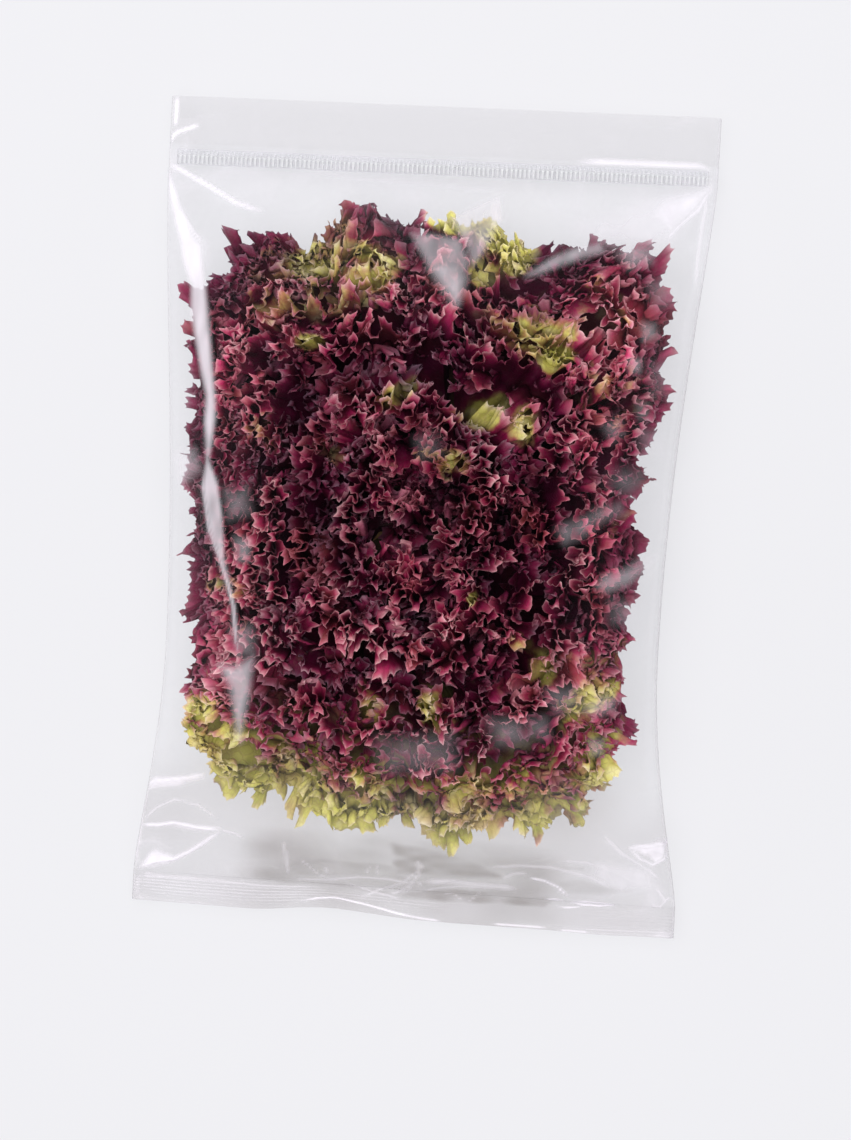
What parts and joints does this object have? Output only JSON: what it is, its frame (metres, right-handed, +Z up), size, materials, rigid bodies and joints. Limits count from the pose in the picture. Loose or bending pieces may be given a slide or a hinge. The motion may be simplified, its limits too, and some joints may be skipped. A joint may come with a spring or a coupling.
{
  "type": "bagged lollo rosso lettuce",
  "caption": "Frilly red lettuce head in a clear resealable pillow bag, lying flat on its back film.",
  "frame": {"origin": "on the supporting surface, below the middle of the bag's outline", "axes": "+Z up out of the front film, +Y along the bag to its zip, +X to the right seen from above"},
  "size_m": [0.25, 0.37, 0.0834],
  "materials": {
    "red_leaf": "satin leaf, dark red with lighter pink margins",
    "olive_leaf": "satin leaf, olive brown turning to green at the base",
    "green_leaf": "satin leaf, yellow green with pink tips",
    "stem": "moist pale green flesh",
    "film": "thin clear glossy film",
    "zip": "translucent ribbed plastic"
  },
  "bodies": {
    "root": {"bud_leaf_1": "red_leaf", "heart_leaf_1": "red_leaf", "heart_leaf_2": "red_leaf", "inner_leaf_1": "red_leaf", "inner_leaf_2": "red_leaf", "inner_leaf_3": "red_leaf", "middle_leaf_1": "red_leaf", "middle_leaf_2": "red_leaf", "middle_leaf_3": "red_leaf", "middle_leaf_4": "red_leaf", "crown_leaf_1": "red_leaf", "crown_leaf_2": "red_leaf", "crown_leaf_3": "red_leaf", "crown_leaf_4": "red_leaf", "crown_leaf_5": "red_leaf", "shoulder_leaf_1": "red_leaf", "shoulder_leaf_2": "red_leaf", "shoulder_leaf_3": "red_leaf", "shoulder_leaf_4": "red_leaf", "shoulder_leaf_5": "red_leaf", "shoulder_leaf_6": "red_leaf", "outer_leaf_1": "red_leaf", "outer_leaf_2": "red_leaf", "outer_leaf_3": "red_leaf", "outer_leaf_4": "olive_leaf", "outer_leaf_5": "olive_leaf", "outer_leaf_6": "red_leaf", "outer_leaf_7": "red_leaf", "wrapper_leaf_1": "red_leaf", "wrapper_leaf_2": "red_leaf", "wrapper_leaf_3": "red_leaf", "wrapper_leaf_4": "red_leaf", "wrapper_leaf_5": "green_leaf", "wrapper_leaf_6": "green_leaf", "wrapper_leaf_7": "green_leaf", "wrapper_leaf_8": "green_leaf", "wrapper_leaf_9": "red_leaf", "stem": "stem", "bag_film": "film", "zip_channel": "zip", "zip_rib": "zip"}
  },
  "joints": []
}
